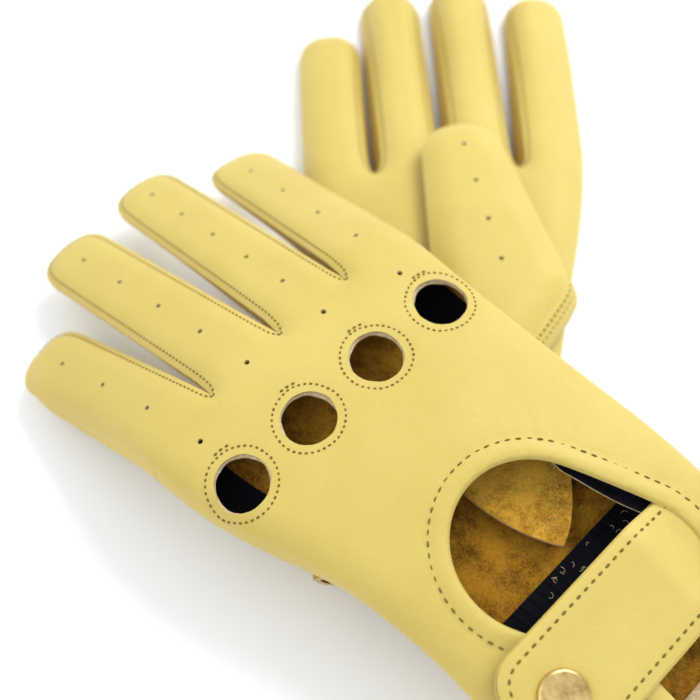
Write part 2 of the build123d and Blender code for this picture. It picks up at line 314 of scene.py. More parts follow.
def closed(loop):
    """A loop's points with the first one again at the end."""
    return np.vstack([loop, loop[:1]])


def beside(line, distance):
    """A line's copy to its left (positive) or right."""
    way = np.gradient(line, axis=0)
    way /= np.linalg.norm(way, axis=1)[:, None] + 1e-9
    return line + distance * np.column_stack([-way[:, 1], way[:, 0]])


def circle(centre, radius, count, roughness=0.0, seed=1):
    """A ring of points, cut slightly unevenly if roughness is given."""
    angles = np.linspace(0, 2 * math.pi, count, endpoint=False)
    rng = np.random.default_rng(seed)
    radii = np.full(count, radius)
    for wave in (2, 3, 5, 9):
        radii += np.sin(wave * angles + rng.uniform(0, 6.3)) * roughness / math.sqrt(wave)
    return np.asarray(centre) + radii[:, None] * np.column_stack([np.cos(angles), np.sin(angles)])


def bezier(start, control, end, count):
    """A quadratic curve of count points, both ends included."""
    t = np.linspace(0, 1, count)[:, None]
    start, control, end = (np.asarray(p, float) for p in (start, control, end))
    return (1 - t) ** 2 * start + 2 * t * (1 - t) * control + t * t * end


# A glove's plan


def finger_ways(glove, index):
    """The plan's directions across and along one finger."""
    lean = math.radians(glove.leans[index])
    return np.array([math.cos(lean), math.sin(lean)]), np.array([-math.sin(lean), math.cos(lean)])


def finger_place(glove, index, across, along):
    """Plan points given by their distances across and along one finger."""
    side, ahead = finger_ways(glove, index)
    return np.array([glove.finger_x[index], WEB_Y]) + np.outer(across, side) + np.outer(along, ahead)


def finger_edge(glove, index, side, narrow):
    """One edge of a finger, from beyond the web to the middle of its round tip."""
    radius = FINGER_TIP_WIDTH / 2
    tip = FINGER_LENGTHS[index] - radius
    along = np.linspace(EDGE_START, tip, int((tip - EDGE_START) / EDGE_STEP))
    share = along / tip
    across = (FINGER_BASE_WIDTH / 2) * (1 - share) + radius * share - narrow * (1 - share**3)
    arc = np.linspace(0, math.pi / 2, 14)[1:]
    along = np.concatenate([along, tip + radius * np.sin(arc) ** TIP_SQUARENESS])
    across = np.concatenate([across, radius * np.cos(arc) ** TIP_SQUARENESS])
    across[-1] = 0.0
    return soften(finger_place(glove, index, side * across, along), 2)


def web_point(glove, slit, drop=0.0):
    """The crotch between two fingers."""
    return np.array([(glove.finger_x[slit] + glove.finger_x[slit + 1]) / 2, WEB_Y - drop])


def slit_side(glove, index, side, narrow, web_drop, roundness):
    """The seam of one finger from the crotch to its fingertip."""
    crotch = web_point(glove, index if side > 0 else index - 1, web_drop)
    edge = finger_edge(glove, index, side, narrow)
    pull = 0.5 + 0.5 * roundness
    control = [
        crotch[0] + (edge[0][0] - crotch[0]) * pull,
        edge[0][1] + (crotch[1] - edge[0][1]) * pull,
    ]
    return np.vstack([bezier(crotch, control, edge[0], 8)[:-1], edge])


def fold_side(glove, index, side):
    """The seamless outer side of a hand, from the cuff to the tip of the little or index finger."""
    y = np.arange(glove.stations[-1], WEB_Y - 8.0, EDGE_STEP)
    x = glove.section(y, LOW_X if side < 0 else HIGH_X)
    edge = finger_edge(glove, index, side, 0.0)
    shared = 12  # points of the finger's edge that are softened with the hand's side
    hand = np.vstack([np.column_stack([x, y]), edge[:shared]])
    return np.vstack([soften(resample(hand, EDGE_STEP), 12), edge[shared:]])


def vent_line(glove):
    """The vent's rim: from the cuff up one side, round the top and down the other side."""
    top, low = VENT_TOP + [glove.vent_shift, 0.0], VENT_LOW + [glove.vent_shift, 0.0]
    between = top - low
    heading = math.atan2(between[1], between[0])
    tangent = math.acos((VENT_LOW_RADIUS - VENT_TOP_RADIUS) / np.linalg.norm(between))
    slot = math.acos(VENT_SLOT_HALF / VENT_LOW_RADIUS)
    line = [[[low[0] + VENT_SLOT_HALF, glove.stations[-1]]]]
    for centre, radius, angles in (
        (low, VENT_LOW_RADIUS, np.linspace(-slot, heading - tangent, 14)[:-1]),
        (top, VENT_TOP_RADIUS, np.linspace(heading - tangent, heading + tangent, 40)),
        (low, VENT_LOW_RADIUS, np.linspace(heading + tangent, math.pi + slot, 14)[1:]),
    ):
        line.append(centre + radius * np.column_stack([np.cos(angles), np.sin(angles)]))
    line.append([[low[0] - VENT_SLOT_HALF, glove.stations[-1]]])
    return soften(resample(np.vstack(line), EDGE_STEP), 6)


def perforations(glove):
    """Middles of the small holes along the fingers."""
    centres = []
    for index, start in enumerate(PERFORATION_STARTS):
        along = start + PERFORATION_PITCHES[index] * np.arange(PERFORATION_COUNTS[index])
        centres.extend(finger_place(glove, index, 0 * along, along))
    return centres


@dataclass
class Plan:
    """A panel's flat pattern. Slits are seams between fingers, folds are seamless sides."""

    outline: np.ndarray
    holes: list = ()
    slits: list = ()
    folds: list = ()
    vent: np.ndarray = None


def panel_plan(glove, back):
    """The flat pattern of the back or of the palm leather."""
    shape = (0.0, 0.0, 0.0) if back else (2.0, 2.5, 0.9)  # narrow, web_drop and roundness
    folds = [fold_side(glove, 0, -1), fold_side(glove, 3, 1)]
    slits = []
    outline = [folds[0]]
    for slit in range(3):
        down = slit_side(glove, slit, 1, *shape)
        up = slit_side(glove, slit + 1, -1, *shape)
        slits.extend([down, up])
        outline.extend([down[::-1][1:], up[1:]])
    outline.append(folds[1][::-1][1:])
    cuff = [folds[1][0], folds[0][0]]
    if not back:
        outline.append(resample(cuff, EDGE_STEP)[1:-1])
        return Plan(np.vstack(outline), [], slits, folds)
    vent = vent_line(glove)
    outline.append(resample([cuff[0], vent[0]], EDGE_STEP)[1:-1])
    outline.append(vent)
    outline.append(resample([vent[-1], cuff[1]], EDGE_STEP)[1:-1])
    holes = [circle((x, 0.0), HOLE_RADIUS, 40, 0.13, 11 + n) for n, x in enumerate(glove.knuckle_x)]
    holes += [circle(centre, PERFORATION_RADIUS, 8) for centre in perforations(glove)]
    return Plan(np.vstack(outline), holes, slits, folds, vent)


def finger_seams(plan, index):
    """The sewn sides of one finger: a list of (side, number of the slit, seam)."""
    sides = [(-1, index - 1, 2 * index - 1), (1, index, 2 * index)]
    return [(side, slit, plan.slits[number]) for side, slit, number in sides if 0 <= slit < 3]


# Heights over the plan


def line_distance(points, lines):
    """Distance from each point to the nearest of the given lines."""
    starts = np.vstack([line[:-1] for line in lines])
    ways = np.vstack([np.diff(line, axis=0) for line in lines])
    squares = np.maximum((ways**2).sum(axis=1), 1e-12)
    nearest = np.empty(len(points))
    chunk = 1500
    for first in range(0, len(points), chunk):
        part = points[first : first + chunk, None, :] - starts[None]
        share = np.clip((part * ways[None]).sum(axis=2) / squares, 0, 1)
        gap = part - share[:, :, None] * ways[None]
        nearest[first : first + chunk] = np.sqrt((gap**2).sum(axis=2).min(axis=1))
    return nearest


def round_fall(distance, width):
    """1 on the edge and 0 beyond width, in a quarter of an ellipse, upright at the edge."""
    share = np.clip(1 - distance / width, 0, 1)
    return 1 - np.sqrt(1 - share**2)


def soft_fall(distance, width):
    """1 on the edge and 0 beyond width, in a soft slope."""
    return np.clip(1 - distance / width, 0, 1) ** 2


def hump(value, middle, width):
    """1 at the middle and a smooth fall to 0 on both sides."""
    return np.exp(-(((value - middle) / width) ** 2))


def ripples(points, wavelength, seed):
    """Slow uneven waves between -1 and 1, always the same for one seed."""
    rng = np.random.default_rng(seed)
    total = np.zeros(len(points))
    for _ in range(6):
        angle = rng.uniform(0, 2 * math.pi)
        pace = 2 * math.pi / (wavelength * rng.uniform(0.7, 1.5))
        total += np.sin(points @ np.array([math.cos(angle), math.sin(angle)]) * pace + rng.uniform(0, 6.3))
    return total / 6


def columns(glove, points):
    """Each finger's share in a plan point, and the point's distances across and along each finger."""
    shares = []
    for slit in range(3):
        lean = math.radians((glove.leans[slit] + glove.leans[slit + 1]) / 2)
        aside = points[:, 0] - web_point(glove, slit)[0] + (points[:, 1] - WEB_Y) * math.tan(lean)
        reach = np.interp(points[:, 1], [12.0, WEB_Y, WEB_Y + 7.0], [11.0, 3.5, 0.4])
        shares.append(smooth_step(-reach, reach, aside))
    weights = np.array([1 - shares[0], shares[0] * (1 - shares[1]), shares[1] * (1 - shares[2]), shares[2]])
    across, along = [], []
    for index in range(4):
        side, ahead = finger_ways(glove, index)
        away = points - np.array([glove.finger_x[index], WEB_Y])
        across.append(away @ side)
        along.append(away @ ahead)
    return weights, np.array(across), np.array(along)


def body_shape(glove, points):
    """Depth of the glove, height of its back, sideways share and share of the finger's length."""
    weights, across, along = columns(glove, points)
    y = points[:, 1]
    share = (weights * np.clip(along / np.array(FINGER_LENGTHS)[:, None], 0, 1)).sum(axis=0)
    onto_fingers = smooth_step(8.0, WEB_Y, y)
    sideways = (weights * (across + np.array(glove.finger_x)[:, None])).sum(axis=0)
    x = points[:, 0] * (1 - onto_fingers) + sideways * onto_fingers
    low, high = glove.section(y, LOW_X), glove.section(y, HIGH_X)
    aside = np.clip(np.abs(2 * (x - (low + high) / 2) / (high - low)), 0, 1)
    finger_depth = glove.finger_depth * (1 - share) + FINGER_TIP_DEPTH * share
    into = smooth_step(10.0, 32.0, y)
    depth = glove.section(y, DEPTH) * (1 - into) + finger_depth * into
    return depth, glove.section(y, TOP_Z), aside, share


def side_drop(glove, share):
    """How far the back leather turns down at a side fold; less at the fingertips."""
    return glove.fold_drop + (SLIT_DROP - glove.fold_drop) * smooth_step(0.55, 0.95, share)


def back_height(glove, plan, points):
    """Height of the back leather's outside over the plan."""
    _, z_back, aside, share = body_shape(glove, points)
    at_fold = line_distance(points, plan.folds)
    at_slit = line_distance(points, plan.slits)
    fall = np.maximum(
        side_drop(glove, share) * round_fall(at_fold, FOLD_WIDTH),
        SLIT_DROP * soft_fall(at_slit, SLIT_WIDTH),
    )
    height = z_back - glove.back_crown * aside**FULLNESS - fall
    inside = smooth_step(0.0, 6.0, np.minimum(at_fold, at_slit))
    height += inside * (0.22 * ripples(points, 34.0, 5) + 0.05 * ripples(points, 9.0, 6))
    at_vent = line_distance(points, [plan.vent])
    roll = 0.55 * np.sin(np.clip(at_vent / VENT_STITCH_INSET, 0, 1) * math.pi) ** 0.7
    height += roll - 0.4 * hump(at_vent, VENT_STITCH_INSET, 0.7) - round_fall(at_vent, 1.7)
    height += rim_creases(plan, points, at_vent)
    for x in glove.knuckle_x:
        ring = np.hypot(points[:, 0] - x, points[:, 1])
        height -= 0.16 * hump(ring, HOLE_STITCH_RADIUS, 0.6)
        height -= 0.25 * soft_fall(ring - HOLE_RADIUS, 1.6) * (ring < HOLE_RADIUS + 2)
    return height


def rim_creases(plan, points, at_vent):
    """Fine creases that run out from the vent's thumb-side rim, where the wrist pulls."""
    away = points - plan.vent.mean(axis=0) - [4.0, 12.0]
    heading = np.arctan2(away[:, 1], away[:, 0])
    creases = np.sin(heading * 34 + 2.0 * ripples(points, 22.0, 8))
    return 0.16 * creases * hump(heading, 0.75, 0.55) * hump(at_vent, 7.5, 6.0)


def palm_height(glove, plan, points):
    """Height of the palm leather's outside over the plan: it meets the back at the folds."""
    depth, z_back, aside, share = body_shape(glove, points)
    crown = glove.palm_crown * aside**FULLNESS
    room = depth - crown - glove.back_crown * aside**FULLNESS
    gap = (glove.finger_depth - 5.5) * (1 - share**1.3)
    at_fold = line_distance(points, plan.folds)
    at_slit = line_distance(points, plan.slits)
    rise = np.maximum(
        (room - side_drop(glove, share)) * round_fall(at_fold, FOLD_WIDTH + 2.0),
        np.maximum(room - SLIT_DROP - gap, 1.5) * soft_fall(at_slit, 7.5),
    )
    height = z_back - depth + crown + rise
    inside = smooth_step(0.0, 7.0, np.minimum(at_fold, at_slit))
    return height + inside * (0.3 * ripples(points, 30.0, 15) + 0.06 * ripples(points, 10.0, 16))


def bend_down(along, height, droop):
    """Turn a finger's profile down over the bend at its web, keeping its length."""
    if droop == 0.0:
        return along, height
    angle = math.radians(droop)
    radius = 2 * BEND_REACH / angle
    turned = np.clip((along + BEND_REACH) / (2 * BEND_REACH), 0, 1) * angle
    before = np.minimum(along, -BEND_REACH)
    after = np.maximum(along - BEND_REACH, 0)
    y = before + radius * np.sin(turned) + after * math.cos(angle) + height * np.sin(turned)
    z = -radius * (1 - np.cos(turned)) - after * math.sin(angle) + height * np.cos(turned)
    return y, z


def lift(glove, points, height):
    """Plan points and heights, as points of the glove frame with the fingers bent down."""
    weights, across, along = columns(glove, points)
    result = np.zeros((len(points), 3))
    for index in range(4):
        y, z = bend_down(along[index], height, glove.droops[index])
        place = np.column_stack([finger_place(glove, index, across[index], y), z])
        result += weights[index][:, None] * place
    bend_start = WEB_Y - BEND_REACH
    onto_fingers = smooth_step(bend_start - 6.0, bend_start + 2.0, points[:, 1])[:, None]
    return np.column_stack([points, height]) * (1 - onto_fingers) + result * onto_fingers


def back_surface(glove, plan, points, above=0.0):
    """The outside of the back leather at plan points, or a layer above it."""
    points = np.asarray(points, float)
    return lift(glove, points, back_height(glove, plan, points) + above)


def palm_surface(glove, plan, points, above=0.0):
    """The outside of the palm leather at plan points, or a layer towards its inside."""
    points = np.asarray(points, float)
    height = palm_height(glove, plan, points) + above
    share = np.clip(line_distance(points, plan.folds[:1]) / 11.0, 0, 1)
    reach = smooth_step(-46.0, -16.0, points[:, 1]) * (1 - smooth_step(70.0, 84.0, points[:, 1]))
    moved = points.copy()
    moved[:, 0] -= glove.lip * reach * np.sin(math.pi * np.sqrt(share))
    return lift(glove, moved, height)


# A leather's surface, and the way its outside faces along the glove's z axis
SIDES = {"back": (back_surface, 1.0), "palm": (palm_surface, -1.0)}


# Meshes


def inside_loops(points, loops):
    """Which points lie inside an odd number of the closed loops."""
    odd = np.zeros(len(points), bool)
    chunk = 4000
    for loop in loops:
        x, y = loop[:, 0], loop[:, 1]
        next_x, next_y = np.roll(x, -1), np.roll(y, -1)
        rise = np.where(next_y == y, 1e-9, next_y - y)
        for first in range(0, len(points), chunk):
            px, py = points[first : first + chunk, :, None].transpose(1, 0, 2)
            straddles = (y > py) != (next_y > py)
            crosses = straddles & (px < (next_x - x) * (py - y) / rise + x)
            odd[first : first + chunk] ^= crosses.sum(axis=1) % 2 == 1
    return odd


def inner_points(plan, borders):
    """Points inside a plan: an even grid, and closer rows beside its folds and its vent."""
    low, high = plan.outline.min(axis=0), plan.outline.max(axis=0)
    rows = []
    for number, y in enumerate(np.arange(low[1], high[1], GRID * 0.87)):
        x = np.arange(low[0] + (number % 2) * GRID / 2, high[0], GRID)
        rows.append(np.column_stack([x, np.full(len(x), y)]))
    grid = np.vstack(rows)
    inner = grid[line_distance(grid, borders) > 0.8]
    steep = list(plan.folds) + ([] if plan.vent is None else [plan.vent])
    if steep:
        close = np.vstack([beside(line, d) for line in steep for d in (0.35, -0.35, 0.9, -0.9)])
        close = close[line_distance(close, borders) > 0.25]
        inner = np.vstack([inner[line_distance(inner, steep) > 1.5], close])
    return inner[inside_loops(inner, [plan.outline, *plan.holes])]


def triangulate(plan, seams=()):
    """Points and triangles that fill a plan. Seams are inner lines that triangles don't cross."""
    loops = [plan.outline, *plan.holes]
    points, edges = [], []
    for number, line in enumerate([*loops, *seams]):
        first, count = len(points), len(line)
        points.extend(line.tolist())
        ends = count if number < len(loops) else count - 1
        edges.extend([(first + k, first + (k + 1) % count) for k in range(ends)])
    points.extend(inner_points(plan, [closed(loop) for loop in loops] + list(seams)).tolist())
    found = delaunay_2d_cdt([Vector(p) for p in points], edges, [], 0, 1e-4)
    verts = np.array([tuple(v) for v in found[0]])
    faces = np.array(found[2])
    faces = faces[inside_loops(verts[faces].mean(axis=1), loops)]
    a, b, c = (verts[faces[:, k]] for k in range(3))
    turn = np.cross(b - a, c - a)
    faces[turn < 0] = faces[turn < 0][:, ::-1]
    return verts, faces[np.abs(turn) > 1e-7]


def unit(vectors):
    """The same directions with length one."""
    return vectors / (np.linalg.norm(vectors, axis=-1, keepdims=True) + 1e-12)


def vertex_normals(points, faces):
    """Smooth unit normals of a triangle mesh."""
    a, b, c = (points[faces[:, k]] for k in range(3))
    normals = np.zeros_like(points)
    across = np.cross(b - a, c - a)
    for k in range(3):
        np.add.at(normals, faces[:, k], across)
    return unit(normals)


def open_edges(faces):
    """The edges that belong to one triangle only, in their triangle's direction."""
    pairs = np.vstack([faces[:, [0, 1]], faces[:, [1, 2]], faces[:, [2, 0]]])
    keys = {}
    for a, b in pairs.tolist():
        key = (min(a, b), max(a, b))
        keys[key] = None if key in keys else (a, b)
    return np.array([edge for edge in keys.values() if edge])


def make_object(name, points, faces, materials):
    """A smooth-shaded object from row-frame points and faces."""
    mesh = bpy.data.meshes.new(name)
    mesh.from_pydata(np.asarray(points).tolist(), [], [list(map(int, face)) for face in faces])
    for material in materials:
        mesh.materials.append(material)
    mesh.polygons.foreach_set("use_smooth", np.ones(len(mesh.polygons), bool))
    made = bpy.data.objects.new(name, mesh)
    bpy.context.scene.collection.objects.link(made)
    return made


def sew(
    glove, name, mesh, materials, slot, node="", place="hand",
    kinds=None, normals=None, sharp=None, thickness=0.0, even=True,
):
    """A visible piece of a glove from its mesh: glove-frame points, and faces.

    Place is the body it rides on, or a function that bends it. Node is the CAD node it stands for.
    Kinds number each face's material and normals hold an array for each face. Edges turn sharp
    beyond an angle of sharp degrees. A sheet gets its thickness with the last material on its rim.
    """
    turn = -1 if glove.mirrored else 1
    points, faces = mesh
    faces = [list(face)[::turn] for face in faces]
    piece = make_object(f"{glove.name}_{name}", glove.row(points), faces, materials)
    if kinds is not None:
        piece.data.polygons.foreach_set("material_index", np.asarray(kinds, np.int32))
    if normals is not None:
        corners = np.vstack([own[::turn] for own in normals]) @ glove.axes
        piece.data.normals_split_custom_set(corners.tolist())
    piece.data.update()
    if sharp is not None:
        piece.data.set_sharp_from_angle(angle=math.radians(sharp))
    if thickness:
        solid = piece.modifiers.new("thickness", "SOLIDIFY")
        solid.thickness = thickness * MM
        solid.offset = 0.0
        solid.use_even_offset = even
        solid.material_offset_rim = len(materials) - 1
    if callable(place):
        place(piece)
    else:
        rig.ride(piece, f"{glove.name}_{place}")
    if node:
        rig.replaces(piece, f"{glove.name}_{node}")
    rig.slot(piece, slot)


def quads(strips):
    """The mesh of several strips. Each strip is a list of rows of points."""
    points, faces = [], []
    for strip in map(np.asarray, strips):
        first, (count, width) = len(points), strip.shape[:2]
        points.extend(strip.reshape(-1, 3))
        corners = [first + i * width + j for i in range(count - 1) for j in range(width - 1)]
        faces.extend([[a, a + 1, a + width + 1, a + width] for a in corners])
    return points, faces


def shell(faces, count, edges):
    """The faces of both sides of a panel and of its rim along the edges, with their kinds."""
    near = faces.tolist()
    far = (faces[:, ::-1] + count).tolist()
    rim = [[b, a, a + count, b + count] for a, b in edges.tolist()]
    return near + far + rim, [0] * len(near) + [1] * len(far) + [2] * len(rim)


@dataclass
class Sheet:
    """A leather panel with thickness: outer side, inner side and cut edges."""

    points: np.ndarray
    faces: list
    kinds: list  # 0 grain side, 1 flesh side, 2 cut edge
    normals: list  # an array for each face, with a row for each of its corners
    plan_middles: np.ndarray  # plan place of each face


def thicken(verts, faces, outer, outward, no_rim=()):
    """Give a lifted panel its thickness. Edges near the no_rim lines stay open."""
    normals = vertex_normals(outer, faces) * outward
    edges = open_edges(faces)
    if no_rim:
        edges = edges[line_distance(verts[edges].mean(axis=1), no_rim) > 0.05]
    if outward < 0:
        faces, edges = faces[:, ::-1], edges[:, ::-1]
    count = len(outer)
    points = np.vstack([outer, outer - normals * LEATHER])
    a, b = edges.T
    sides = unit(np.cross(points[a + count] - points[b], points[b + count] - points[a]))
    rim_normals = np.zeros_like(outer)
    for end in (a, b):
        np.add.at(rim_normals, end, sides)
    rim_normals = unit(rim_normals)
    corners = [*normals[faces], *-normals[faces[:, ::-1]], *rim_normals[np.array([b, a, a, b]).T]]
    middles = verts[faces].mean(axis=1)
    all_faces, kinds = shell(faces, count, edges)
    return Sheet(points, all_faces, kinds, corners, np.vstack([middles, middles, verts[edges].mean(axis=1)]))


# Materials


def add_node(tree, kind, values=None, **settings):
    """A node with its settings and inputs filled in."""
    node = tree.nodes.new(kind)
    for key, value in settings.items():
        setattr(node, key, value)
    fill_inputs(tree, node, values or {})
    return node


def fill_inputs(tree, node, values):
    """Set a node's inputs: an output of another node is linked, any other value is put in."""
    for key, value in values.items():
        if isinstance(value, bpy.types.NodeSocket):
            tree.links.new(value, node.inputs[key])
        else:
            node.inputs[key].default_value = value


def make_material(name, paint, *settings):
    """A material. Paint adds its nodes and returns the shader's inputs."""
    material = bpy.data.materials.new(name)
    material.use_nodes = True
    tree = material.node_tree
    place = add_node(tree, "ShaderNodeTexCoord").outputs["Object"]
    fill_inputs(tree, tree.nodes["Principled BSDF"], paint(tree, place, *settings))
    return material


def noise(tree, place, scale, detail=4.0, roughness=0.55):
    """A noise pattern. Scale is in waves per metre."""
    values = {"Vector": place, "Scale": scale, "Detail": detail, "Roughness": roughness}
    return add_node(tree, "ShaderNodeTexNoise", values).outputs["Fac"]


def ramp(tree, value, *stops):
    """Colours picked by a value, from stops of (position, colour)."""
    node = add_node(tree, "ShaderNodeValToRGB", {"Fac": value})
    elements = node.color_ramp.elements
    while len(elements) < len(stops):
        elements.new(0.5)
    for element, (position, colour) in zip(elements, stops):
        element.position = position
        element.color = (*colour, 1.0)
    return node.outputs["Color"]


def bump(tree, value, strength, depth, below=None):
    """A bump from a pattern, depth in metres, on top of another bump if given."""
    values = {"Height": value, "Strength": strength, "Distance": depth}
    if below is not None:
        values["Normal"] = below
    return add_node(tree, "ShaderNodeBump", values).outputs["Normal"]


def to_range(tree, value, low, high):
    """A pattern stretched to values between low and high."""
    values = {"Value": value, "To Min": low, "To Max": high}
    return add_node(tree, "ShaderNodeMapRange", values).outputs["Result"]


def leather(tree, place, pale, deep):
    """Smooth dull glove leather: cloudy colour, fine pebbled grain, faint pores and creases."""
    clouds = noise(tree, place, 26.0, 5.0, 0.62)
    middle = [(a + b) / 2 for a, b in zip(pale, deep)]
    values = {"Vector": place, "Scale": 1150.0}
    cells = add_node(tree, "ShaderNodeTexVoronoi", values, feature="SMOOTH_F1")
    grain = bump(tree, cells.outputs["Distance"], 0.30, 0.00022)
    fine = bump(tree, noise(tree, place, 3600.0, 3.0, 0.6), 0.22, 0.00012, grain)
    return {
        "Base Color": ramp(tree, clouds, (0.32, deep), (0.55, middle), (0.74, pale)),
        "Roughness": to_range(tree, clouds, 0.46, 0.62),
        "Normal": bump(tree, noise(tree, place, 210.0, 4.0, 0.6), 0.30, 0.0005, fine),
        "Specular IOR Level": 0.32,
        "Subsurface Weight": 0.12,
        "Subsurface Radius": (1.0, 0.6, 0.2),
        "Subsurface Scale": 0.0012,
        "Sheen Weight": 0.08,
    }


def suede(tree, place, pale, deep):
    """The flesh side of leather: matted fibres, golden to brown."""
    blotches = noise(tree, place, 120.0, 6.0, 0.7)
    fibres = noise(tree, place, 1500.0, 5.0, 0.8)
    mixed = add_node(tree, "ShaderNodeMath", {0: fibres, 1: 0.75, 2: blotches}, operation="MULTIPLY_ADD")
    return {
        "Base Color": ramp(tree, mixed.outputs[0], (0.70, deep), (1.0, pale)),
        "Normal": bump(tree, blotches, 0.6, 0.0012, bump(tree, fibres, 0.9, 0.0006)),
        "Roughness": 0.95,
        "Sheen Weight": 0.15,
        "Sheen Tint": (1.0, 0.65, 0.2, 1.0),
        "Specular IOR Level": 0.1,
    }


def fibre(tree, place, pale, deep, scale, depth, roughness):
    """A small-scale two-tone fibrous material, for cut edges and thread."""
    fibres = noise(tree, place, scale, 4.0, 0.7)
    return {
        "Base Color": ramp(tree, fibres, (0.35, deep), (0.65, pale)),
        "Normal": bump(tree, fibres, 0.7, depth),
        "Roughness": roughness,
        "Specular IOR Level": 0.2,
    }


def ribbed(tree, place, across):
    """Near-black ribbed material for the dark sheets and the elastic: fine ribs along a direction, with white lint
    caught in it.
    """
    turned = add_node(tree, "ShaderNodeMapping", {"Vector": place, "Rotation": (0.0, 0.0, across)})
    values = {"Vector": turned.outputs["Vector"], "Scale": 230.0, "Distortion": 2.0, "Detail": 2.0}
    ribs = add_node(tree, "ShaderNodeTexWave", values)
    lint = noise(tree, place, 520.0, 8.0, 0.85)
    black, dark, white = (0.002, 0.002, 0.004), (0.004, 0.004, 0.007), (0.3, 0.29, 0.27)
    woven = bump(tree, ribs.outputs["Fac"], 0.6, 0.0002)
    return {
        "Base Color": ramp(tree, lint, (0.0, black), (0.70, dark), (0.76, white)),
        "Normal": bump(tree, lint, 0.5, 0.0003, woven),
        "Roughness": 0.95,
        "Specular IOR Level": 0.12,
    }


def brass(tree, place):
    """Polished brass with fine scratches and a little tarnish."""
    tarnish = noise(tree, place, 400.0, 6.0, 0.7)
    return {
        "Base Color": ramp(tree, tarnish, (0.3, (0.42, 0.27, 0.09)), (0.65, (0.80, 0.58, 0.24))),
        "Roughness": to_range(tree, tarnish, 0.18, 0.38),
        "Normal": bump(tree, noise(tree, place, 2500.0, 3.0, 0.7), 0.12, 0.0001),
        "Metallic": 1.0,
    }


GRAIN = make_material("yellow_leather", leather, (0.592, 0.464, 0.120), (0.535, 0.400, 0.090))
# The flesh side's golden brown, darkened as painted shade for the deep inside of the palm.
SUEDE_WITH_PAINTED_SHADE = make_material("suede_flesh_side", suede, (0.50, 0.24, 0.018), (0.13, 0.052, 0.004))
# A lighter copy of the same suede: painted light for the flap that stands up off the palm.
SUEDE_PAINTED_LIGHT = make_material("bright_suede", suede, (0.86, 0.48, 0.055), (0.30, 0.13, 0.012))
CUT_EDGE = make_material(
    "cut_leather_edge", fibre, (0.70, 0.56, 0.33), (0.42, 0.30, 0.15), 1400.0, 0.0003, 0.9,
)
# The yellow leather in a darker tone: painted shade for the gusset strips deep between the fingers and beside the
# thumb.
GUSSET_PAINTED_SHADE = make_material("gusset_leather", leather, (0.56, 0.40, 0.085), (0.48, 0.31, 0.05))
THREAD = make_material(
    "olive_thread", fibre, (0.26, 0.17, 0.03), (0.10, 0.06, 0.01), 3000.0, 0.0002, 0.8,
)
PALE_THREAD = make_material(
    "pale_thread", fibre, (0.72, 0.52, 0.18), (0.45, 0.28, 0.06), 3000.0, 0.0002, 0.7,
)
# Near-black ribbed sheet: behind the outer knuckle holes it is painted shade for the glove's dark inside.
NEAR_BLACK_SHEET = make_material("black_tape", ribbed, 0.6)
ELASTIC = make_material("black_elastic", ribbed, 2.2)
BRASS = make_material("brass", brass)
LEATHER_SIDES = [GRAIN, SUEDE_WITH_PAINTED_SHADE, CUT_EDGE]


# Panels


def sew_part(glove, sheet, chosen, name, **fastening):
    """A piece made of the chosen faces of a sheet."""
    chosen = np.flatnonzero(chosen)
    used = sorted({k for n in chosen for k in sheet.faces[n]})
    number = {k: n for n, k in enumerate(used)}
    faces = [[number[k] for k in sheet.faces[n]] for n in chosen]
    sew(
        glove, name, (sheet.points[used], faces), LEATHER_SIDES,
        kinds=[sheet.kinds[n] for n in chosen], normals=[sheet.normals[n] for n in chosen], **fastening,
    )


def finger_of(glove, middles):
    """-1 for plan places on the hand, else the number of the finger."""
    _, across, _ = columns(glove, middles)
    nearest = np.abs(across).argmin(axis=0)
    low = middles[:, 1] < WEB_Y + 1.0
    for slit in range(3):
        x = web_point(glove, slit)[0]
        nearest[low & (nearest == slit) & (middles[:, 0] > x)] = slit + 1
        nearest[low & (nearest == slit + 1) & (middles[:, 0] < x)] = slit
    return np.where(middles[:, 1] < glove.split_y, -1, nearest)


def onto_finger(glove, index):
    """Lets a piece that crosses a finger's web bend from the hand to the finger."""
    finger = FINGERS[index]
    x, height = glove.finger_x[index], glove.pivot(f"{finger}_bend")[2]
    start, end = (tuple(glove.row([x, y, height])) for y in (glove.split_y, glove.blend_end_y))
    bodies = (f"{glove.name}_hand", f"{glove.name}_{finger}_finger")
    return lambda piece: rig.blend(piece, *bodies, start=start, end=end)


def crossing(line, y):
    """Where a line that starts below y first reaches it."""
    after = int(np.argmax(line[:, 1] >= y))
    low, high = line[after - 1], line[after]
    return low + (high - low) * (y - low[1]) / (high[1] - low[1])


def split_lines(glove, plan):
    """The lines in a plan where the hand's piece ends and the fingers' pieces begin."""
    y = glove.split_y
    borders = [plan.folds[0], *plan.slits, plan.folds[1]]
    ends = [crossing(line, y) for line in borders if line[0][1] < y]
    lines = [resample([a, b], EDGE_STEP) for a, b in zip(ends[::2], ends[1::2])]
    for seam in plan.slits[::2]:
        crotch = seam[0]
        if crotch[1] > y:
            lines.append(np.array([[crotch[0], y], crotch]))
    return lines


def build_panel(glove, side):
    """The back or the palm leather: one piece on the hand and one on each finger."""
    plan = panel_plan(glove, side == "back")
    verts, faces = triangulate(plan, split_lines(glove, plan))
    surface, outward = SIDES[side]
    sheet = thicken(verts, faces, surface(glove, plan, verts), outward, plan.folds)
    owner = finger_of(glove, sheet.plan_middles)
    slot = f"{side}_leather"
    sew_part(glove, sheet, owner == -1, f"hand_{side}_leather", slot=slot, node=f"hand_{side}")
    for index, finger in enumerate(FINGERS):
        sew_part(
            glove, sheet, owner == index, f"{finger}_{side}_leather",
            slot=slot, node=f"{finger}_{side}", place=onto_finger(glove, index),
        )
    return plan


# Stitches


